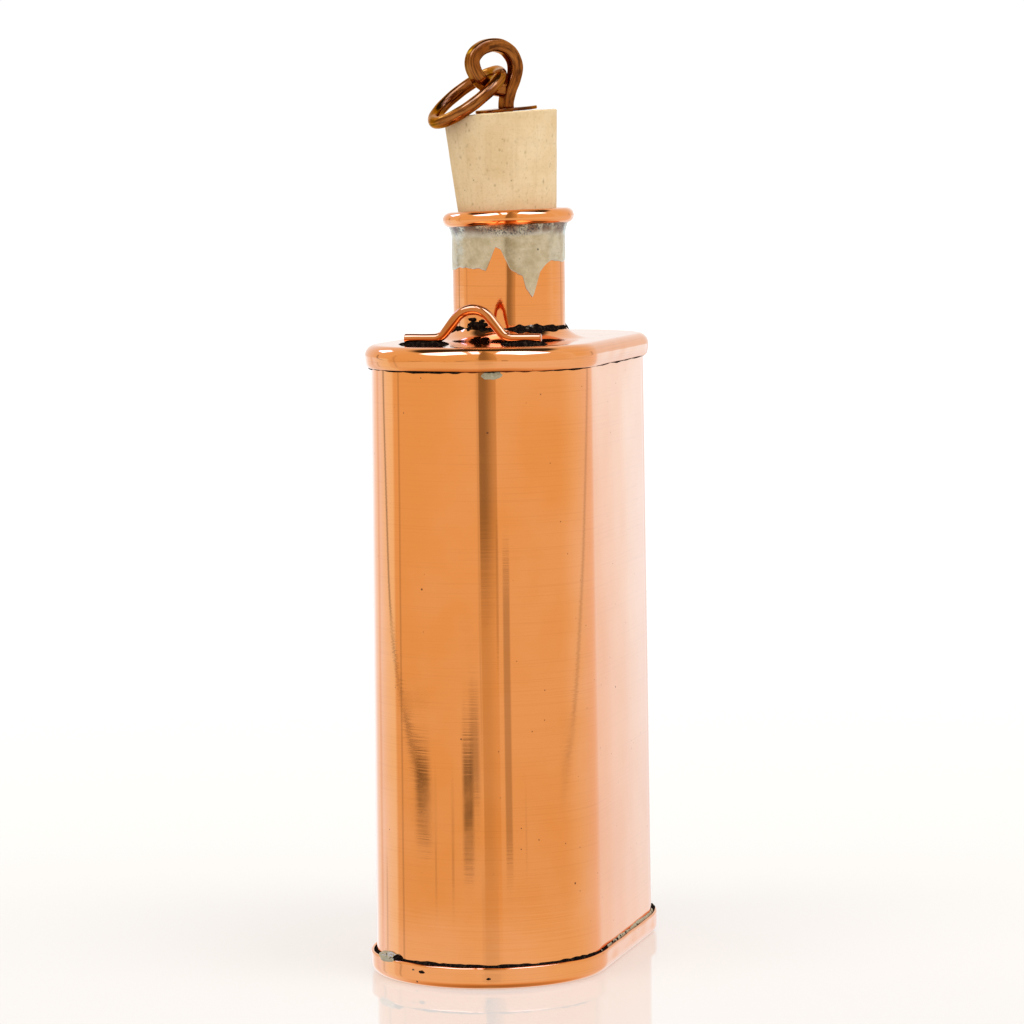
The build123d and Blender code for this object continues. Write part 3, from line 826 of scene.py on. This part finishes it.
def build_top_seam(material):
    """Thin dark line of flux and solder under the top cap's flange, carried down below the flange's edge as
    a painted shadow of the flange on the body.
    """
    ring = oval_rings([BODY_R_TOP], [0.0])[0]
    bottom = HEIGHT - TOP_FLANGE
    # Painted shadow: the black strip hangs below the flange's lower edge to stand in for the flange's shadow
    # on the body.
    shadow_line_low = bottom - 0.16 - 0.16 * wobble(ring, 9, 41) - 0.12 * wobble(ring, 1.5, 42)
    inner = BODY_R_TOP - 0.1
    radii = [inner, BODY_R_TOP + 0.10, BODY_R_TOP + 0.42, BODY_R_TOP + 0.72, BODY_R_TOP + 0.72, inner]
    heights = [shadow_line_low - 0.12, shadow_line_low - 0.10, shadow_line_low + 0.02, shadow_line_low + 0.28, HEIGHT - 2.0, HEIGHT - 2.0]
    rings = oval_rings(radii, heights)
    add_rings("top_seam", rings, "flask", "solder", material, ["top_seam_solder"], sharp=70)


def on_body(turn, height):
    """Point and outward direction on the body's -X end, at degrees from the camera's side."""
    direction = facing_vector(turn)
    radius = float(body_radius(height))
    return np.array([-END_SPACING / 2, 0, height]) + radius * direction, direction


# Spots of burnt flux on the base cap: turn from the camera's side, height, half length, half width, seed.
FLUX_SPOTS = [(-34.5, 3.6, 0.85, 0.42, 61), (-39.5, 3.9, 0.35, 0.25, 62), (-1.0, 2.7, 0.55, 0.3, 63)]


def build_seam_lumps(grey, crust):
    """Lumps of solder left on the seams."""
    place, normal = on_body(-60.5, BASE_FLANGE + 0.2)
    side_heap("base_seam_lump", place + 0.2 * normal, normal, LUMP_LEAN, (5.0, 1.5, 1.25), 51, grey)
    place, normal = on_body(4.5, HEIGHT - TOP_FLANGE - 0.9)
    side_heap("top_seam_lump", place, normal, 0, (2.4, 1.0, 0.16), 52, grey)
    place, normal = on_body(-53.0, BASE_FLANGE + 0.3)
    side_heap("base_seam_crust", place + 0.3 * normal, normal, LUMP_LEAN, (1.3, 1.1, 0.95), 53, crust)
    normal = level_vector(-72)
    place = np.array([END_SPACING / 2, 0, BASE_FLANGE + 0.1]) + (BODY_R_BASE + 0.15) * normal
    side_heap("base_seam_end", place, normal, LUMP_LEAN, (3.0, 0.9, 0.8), 54, crust)
    for turn, height, length, width, seed in FLUX_SPOTS:
        normal = facing_vector(turn)
        place = np.array([-END_SPACING / 2, 0, height]) + BASE_CAP_R * normal
        place = place + (base_cap_push(place) + 0.03) * normal
        side_heap("flux_spot_" + str(seed), place, normal, 0, (length, width, 0.07), seed, crust)


def build_neck(material):
    turns = around(NECK_POINTS)
    seat = LIP_Z - LIP_WIRE_R / 2
    heights = np.linspace(NECK_BOTTOM, seat, 40)
    outer = round_rings(np.full(len(heights), NECK_R), heights, turns)
    outer[..., :2] *= 1 + (0.03 * wobble(outer, 12, 61) + 0.008 * wobble(outer, 4, 62))[..., None] / NECK_R
    inner_heights = np.linspace(seat, NECK_BOTTOM, 10)
    inner = round_rings(np.full(len(inner_heights), NECK_R - SHEET), inner_heights, turns)
    rings = np.concatenate([outer, inner])
    add_rings("neck_sheet", rings, "flask", "polished_copper", material, ["neck_tube"])


# Crusts on the neck's foot: turn from the camera's side, rise, half length, half width, height, seed.
NECK_CRUSTS = [
    (-35.0, 0.9, 3.0, 0.9, 0.45, 131),
    (-41.0, 2.2, 1.4, 0.5, 0.22, 132),
    (-29.0, 1.9, 0.9, 0.4, 0.2, 133),
]


def build_neck_solder(material):
    """Ragged black fillet in the corner between the collar and the neck."""
    turns = around(NECK_SEAM_POINTS)
    ring = circle(NECK_R, 0.0, turns)
    foot = float(collar_height(NECK_R))
    size = 0.50 + 0.40 * wobble(ring, 5, 71) + 0.34 * wobble(ring, 1.1, 72)
    size = np.clip(size, 0.10, 1.2)
    radii = [NECK_R - 0.05, NECK_R + 0.02, NECK_R + 0.25 * size, NECK_R + 0.8 * size, NECK_R + 1.5 * size,
             NECK_R + 1.2 * size, NECK_R - 0.05]
    heights = [foot + 1.15 * size, foot + 1.15 * size, foot + 0.55 * size, foot + 0.05 * size,
               collar_height(np.asarray(NECK_R + 1.5 * size)) + 0.03, foot - 1.2, foot - 1.2]
    rings = round_rings(radii, heights, turns)
    rings[1:5] += 0.05 * wobble(rings[1:5], 0.9, 73)[..., None]
    add_rings("neck_seam", rings, "flask", "solder", material, ["neck_solder"], sharp=70)


# Tin's lower edge, in degrees round from the camera's side: places and heights.
TIN_EDGE = [
    (-180, 168.4), (-150, 166.0), (-120, 168.6), (-90, 166.5), (-57, 167.4), (-34.5, 167.2), (-24, 166.6),
    (-18.5, 169.6), (-13.5, 172.4), (-8, 171.8), (-3.5, 169.4), (1.5, 167.0), (6.3, 166.2), (10, 165.5),
    (14, 165.3), (17.1, 162.4), (21.5, 160.6), (24, 160.1), (26, 161.0), (29.5, 163.6), (33.5, 166.3),
    (40, 167.9), (48, 168.9), (75, 168.4), (110, 170.0), (145, 167.0), (180, 168.4),
]


def tin_edge_height(turns):
    """Height of the tin's lower edge at turns in radians from +X."""
    from_camera = (np.degrees(turns) - FACING + 180) % 360 - 180
    places, heights = np.array(TIN_EDGE).T
    height = np.interp(from_camera, places, heights)
    ring = circle(NECK_R, 0.0, turns)
    return height + 0.10 * wobble(ring, 0.7, 81) + 0.16 * wobble(ring, 2.4, 82)


def build_tinning(material):
    """Film of wiped tin with a soft rounded lower edge, thickened to a fillet under the lip."""
    turns = around(FILM_POINTS)
    low = tin_edge_height(turns)
    lip_low = LIP_Z - LIP_WIRE_R + 0.9 - np.sin(turns) * NECK_R * math.sin(math.radians(LIP_TILT))
    shares = np.concatenate([[0.0, 0.004, 0.012, 0.03], np.linspace(0.06, 1, 26)])
    thickness = np.concatenate([[0.0, 0.07, 0.11, 0.13], np.full(26, 0.13)])
    rings = []
    for share, thick in zip(shares, thickness):
        height = low + share * (lip_low - low)
        fillet_rise = np.clip(1 - (lip_low - height) / 4.2, 0, 1) ** 2.0 * 1.15
        point = circle(NECK_R, height, turns)
        radius = NECK_R + 0.012 + thick * (1 + 0.25 * wobble(point, 2.2, 83)) + fillet_rise
        rings.append(circle(radius, height, turns))
    inside = NECK_R - 0.03
    rings = np.array(rings + [circle(inside, lip_low, turns), circle(inside, low + 0.02, turns)])
    add_rings("tin_film", rings, "flask", "tin", material, ["neck_tinning"], sharp=80)


def ring_path(radius, gap, start, count):
    """Points of a circle in the XY plane with a gap, in millimetres, at start degrees."""
    half = gap / radius / 2
    turns = math.radians(start) + np.linspace(half, TURN - half, count)
    return circle(radius, 0.0, turns)


def add_swept(name, path, across, section, body, slot, material, replaces, place=None, sharp=50,
              rounding=0.3):
    rings, places = sweep(path, across, section, rounding)
    add_rings(name, rings, body, slot, material, replaces, closed=False, place=place, sharp=sharp, uv=places)


def build_lip(material):
    path = ring_path(LIP_R, LIP_GAP, FACING + LIP_JOINT_TURN, 240)
    path[:, 2] += 0.07 * wobble(path, 16, 91)
    path[:, :2] *= 1 + 0.05 * wobble(path, 18, 92)[:, None] / LIP_R

    def section(share, length):
        uneven = 1 + 0.012 * math.sin(length * 0.9) + 0.01 * math.sin(length * 0.37)
        return round_section(LIP_WIRE_R * uneven, 36)

    tilt = Matrix.Translation((0, 0, LIP_Z)) @ turned("X", -LIP_TILT)
    add_swept("lip_wire", path, (0, 0, 1), section, "flask", "polished_copper", material, ["lip_ring"],
              tilt, rounding=0.15)


def build_tether_loop(material):
    feet = HEIGHT + LOOP_LIFT + LOOP_WIRE_R
    corners = [(LOOP_X, 16.6, feet), (LOOP_X, 8.0, feet), (LOOP_X, 0.1, feet + LOOP_PEAK),
               (LOOP_X, -7.8, feet), (LOOP_X, -16.2, feet)]
    path = even_points(filleted(corners, [LOOP_KNEE_R, LOOP_CROWN_R, LOOP_KNEE_R]), 0.3)

    def section(share, length):
        bent = 0.13 * math.exp(-((share - 0.5) / 0.22) ** 4)
        return round_section(LOOP_WIRE_R * (1 + bent + 0.015 * math.sin(length * 1.1)), 28)

    add_swept("loop_wire", path, (1, 0, 0), section, "flask", "polished_copper", material, ["tether_loop"],
              rounding=0.25)


def build_neck_crust(material):
    """Burnt flux heaped on the neck's foot behind the tether loop."""
    for turn, rise, length, width, height, seed in NECK_CRUSTS:
        normal = facing_vector(turn)
        place = NECK_R * normal + [0, 0, float(collar_height(NECK_R)) + rise]
        side_heap("neck_crust_" + str(seed), place, normal, 0, (length, width, height), seed, material)


def build_loop_solder(material):
    heap("loop_seam_left", (LOOP_X + 0.3, 12.3, HEIGHT), (0, 0, 1), (0, 1, 0), 6.1, 2.5, 1.05, 101,
         material, ["loop_solder_left"])
    heap("loop_seam_right", (LOOP_X + 0.3, -12.1, HEIGHT), (0, 0, 1), (0, 1, 0), 5.8, 2.4, 0.95, 102,
         material, ["loop_solder_right"])


# ---------------------------------------------------------------- the stopper's pieces

def stopper_place():
    """From the cork's own frame, with its top at zero, to the flask's frame."""
    lean = turned("Z", CORK_LEAN_TURN) @ turned("Y", CORK_LEAN) @ turned("Z", -CORK_LEAN_TURN)
    return Matrix.Translation((0, 0, LIP_Z)) @ lean @ Matrix.Translation((0, 0, CORK_ABOVE_LIP))


def shank_place():
    return stopper_place() @ Matrix.Translation((SHANK_AT[0], SHANK_AT[1], 0))


def build_cork(material):
    turns = around(CORK_POINTS)
    taper = math.tan(math.radians(CORK_TAPER))
    edge = 0.35
    foot_r = CORK_TOP_R - CORK_LENGTH * taper
    profile = [(r, -CORK_LENGTH) for r in np.linspace(0, foot_r - edge, 8)]
    profile += arc((foot_r - edge, -CORK_LENGTH + edge), edge, -90, 0, 4)[1:]
    for depth in np.linspace(-CORK_LENGTH + edge, -edge, 170)[1:-1]:
        profile.append((CORK_TOP_R + depth * taper, depth))
    profile += arc((CORK_TOP_R - edge, -edge), edge, 0, 90, 5)
    profile += [(r, 0.0) for r in np.linspace(CORK_TOP_R - edge, 0, 36)[1:]]
    rings = round_rings(*zip(*profile), turns)
    outward = rings * [1, 1, 0] / np.maximum(np.linalg.norm(rings * [1, 1, 0], axis=-1), 1e-6)[..., None]
    depth = 0.05 * wobble(rings * [1, 1, 0.5], 9, 111) + 0.025 * wobble(rings * [1, 1, 0.3], 1.6, 112)
    pore = np.zeros(rings.shape[:2])
    random = np.random.default_rng(113)
    for _ in range(PORES):
        turn = random.uniform(0, TURN)
        low = random.uniform(-CORK_LENGTH, 0)
        radius = CORK_TOP_R + low * taper
        centre = np.array([radius * math.cos(turn), radius * math.sin(turn), low])
        wide = random.uniform(0.10, 0.26)
        away = np.linalg.norm((rings - centre) * [1, 1, random.uniform(0.45, 1.0)], axis=-1)
        pit = np.exp(-(away / wide) ** 2)
        depth -= 0.16 * pit * min(1.0, wide / 0.3)
        pore = np.maximum(pore, pit * random.uniform(0.25, 1.0))
    side = (rings[..., 2] < -0.02) & (rings[..., 2] > -CORK_LENGTH + 0.02)
    rings += outward * (depth * side)[..., None]
    top = rings[..., 2] >= -0.02
    rings[..., 2] += top * (0.05 * wobble(rings, 2.5, 114) + 0.03 * wobble(rings, 0.9, 115))
    add_rings("cork", rings, "stopper", "cork", material, ["cork_stopper"], closed=False,
              place=stopper_place(), sharp=80, pore=pore)


def washer_rings(radius, seed, ragged):
    """Flat washer with worn edges: a closed profile turned about Z."""
    turns = around(WASHER_POINTS)
    thick = WASHER_THICK
    soft = thick * 0.3
    profile = [(WASHER_HOLE_R, 0.0), (WASHER_HOLE_R, thick)]
    profile += [(r, thick) for r in np.linspace(WASHER_HOLE_R, radius - soft, 12)[1:-1]]
    profile += arc((radius - soft, thick - soft), soft, 90, 0, 5)
    profile += arc((radius - soft, soft), soft, 0, -90, 5)
    profile += [(r, 0.0) for r in np.linspace(radius - soft, WASHER_HOLE_R, 8)[1:-1]]
    rings = round_rings(*zip(*profile), turns)
    far = np.clip((np.linalg.norm(rings[..., :2], axis=-1) - WASHER_HOLE_R) / (radius - WASHER_HOLE_R), 0, 1)
    rings[..., :2] *= (1 + ragged * far * wobble(rings * [1, 1, 0], 2.5, seed) / radius)[..., None]
    rings[..., 2] += 0.10 * far * wobble(rings * [1, 1, 0], 7, seed + 1)
    girth = np.broadcast_to(turns * radius, rings.shape[:2])
    uv = np.stack([girth, np.linalg.norm(rings[..., :2], axis=-1)], -1)
    return rings, uv


def build_washers(material):
    rings, uv = washer_rings(WASHER_R, 121, 0.16)
    tilt = shank_place() @ Matrix.Translation((0, 0, WASHER_LIFT)) @ turned("Y", -WASHER_TILT)
    add_rings("upper_washer", rings, "stopper", "aged_copper", material, ["stopper_washer"], place=tilt,
              uv=uv)
    rings, uv = washer_rings(ROVE_R, 123, 0.08)
    low = shank_place() @ Matrix.Translation((0, 0, -CORK_LENGTH - WASHER_THICK))
    add_rings("rove", rings, "stopper", "aged_copper", material, ["lower_washer"], place=low, uv=uv)


EYE_POINTS = [(0, EYE_FOOT), (1.25, 5.4), (3.6, 11.1), (2.7, 13.8), (-3.4, 16.4), (-8.85, 12.9), (-7.4, 8.6),
              (-4.6, 6.45), (-1.0, 5.55)]


def build_eye(material):
    """One rod: peened foot, round shank through the cork, squared eye."""
    curve = clamped_spline(EYE_POINTS, (0, 1), (1, -0.15), 150)
    curve = np.stack([curve[:, 0], 0 * curve[:, 0], curve[:, 1]], -1)
    foot = -CORK_LENGTH - WASHER_THICK - PEEN_RISE / 2
    straight = np.array([(0, 0, z) for z in np.linspace(foot, EYE_FOOT - 0.35, 60)])
    path = np.concatenate([straight, curve])
    shank_end = EYE_FOOT - foot

    def section(share, length):
        rise = foot + length
        square = square_section(ROD, ROD_DEPTH, ROD_EDGE)
        angles = np.arctan2(square[:, 1], square[:, 0])
        round_one = SHANK_R * np.stack([np.cos(angles), np.sin(angles)], -1)
        if rise < -CORK_LENGTH - WASHER_THICK:
            return round_one * PEEN_R / SHANK_R
        squareness = np.clip((length - shank_end + 0.3) / 0.3, 0, 1)
        hammered = 1 + 0.012 * math.sin(length * 1.7) + 0.010 * math.sin(length * 0.63 + 1)
        return (round_one * (1 - squareness) + square * squareness) * (1 + (hammered - 1) * squareness)

    place = shank_place() @ turned("Z", EYE_TURN)
    add_swept("eye", path, (0, -1, 0), section, "stopper", "aged_copper", material, ["stopper_eye"], place,
              sharp=55, rounding=0.35)


def build_ring(material):
    """Round wire bent to a ring. Its ends meet inside the eye, and one has sprung a little out of line."""
    hinge = next(j for j in frame["joints"] if j["name"] == "ring_swing")
    place = np.array(hinge["pos_m"]) / MM
    along = np.array(hinge["axis"])
    low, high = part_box("stopper_ring")
    centre = np.array((low + high) / 2) / MM
    outward = centre - place
    radius = float(np.linalg.norm(outward))
    outward = outward / radius
    across = np.cross(outward, along)
    across /= np.linalg.norm(across)
    beside = np.cross(across, outward)
    flat = ring_path(radius, RING_GAP, 180 + RING_JOINT_TURN, 200)
    shares = np.linspace(0, 1, len(flat))
    sprung = np.clip((shares - SPRUNG_FROM) / (1 - SPRUNG_FROM), 0, 1)[:, None] ** 2
    flat[:, :2] *= 1 + SPRUNG_OUT * sprung / radius
    path = centre + flat[:, :1] * outward + flat[:, 1:2] * beside
    path = path + sprung * across * math.copysign(SPRUNG_UP, across[2])

    def section(share, length):
        uneven = 1 + 0.012 * math.sin(length * 1.3) + 0.012 * math.sin(length * 0.5)
        return round_section(RING_WIRE_R * uneven, 32)

    add_swept("pull_ring", path, across, section, "ring", "aged_copper", material, ["stopper_ring"])


# ---------------------------------------------------------------- assembly

add_camera()
add_light_tent()
add_floor()

sheet_copper = polished_copper("sheet_copper", (45.0, 45.0, 1700.0), 0.0022, 0.035, 0.10)
cap_copper = polished_copper("cap_copper", (60.0, 60.0, 500.0), 0.004, 0.05, 0.15)
neck_copper = polished_copper("neck_copper", (50.0, 50.0, 1700.0), 0.006, 0.06, 0.16)
wire_copper = polished_copper("wire_copper", (120.0, 120.0, 120.0), 0.012, 0.02)
# Painted shade: the tether loop gets darker, browner copper colours than the rest, standing in for the
# darker surroundings it reflects.
shaded_loop_copper = polished_copper("shaded_loop_copper", (120.0, 120.0, 120.0), 0.012, 0.03, 0.0,
                              [(0.50, 0.145, 0.028), (0.64, 0.215, 0.055)])
brown_copper = aged_copper("brown_copper")
tin = wiped_tin("wiped_tin")
flux = solder("flux", 0.14)
seam_flux = solder("seam_flux", 0.12, 0.72)
grey_solder = solder("grey_solder", 0.8)
cork_material = cork("cork_skin")

build_body(sheet_copper)
build_base_cap(cap_copper)
build_top_cap(cap_copper)
build_base_seam(seam_flux)
build_top_seam(flux)
build_seam_lumps(grey_solder, flux)
build_neck(neck_copper)
build_neck_solder(flux)
build_neck_crust(flux)
build_tinning(tin)
build_lip(wire_copper)
build_tether_loop(shaded_loop_copper)
build_loop_solder(flux)
build_cork(cork_material)
build_washers(brown_copper)
build_eye(brown_copper)
build_ring(brown_copper)

bpy.context.scene.view_settings.view_transform = "Standard"
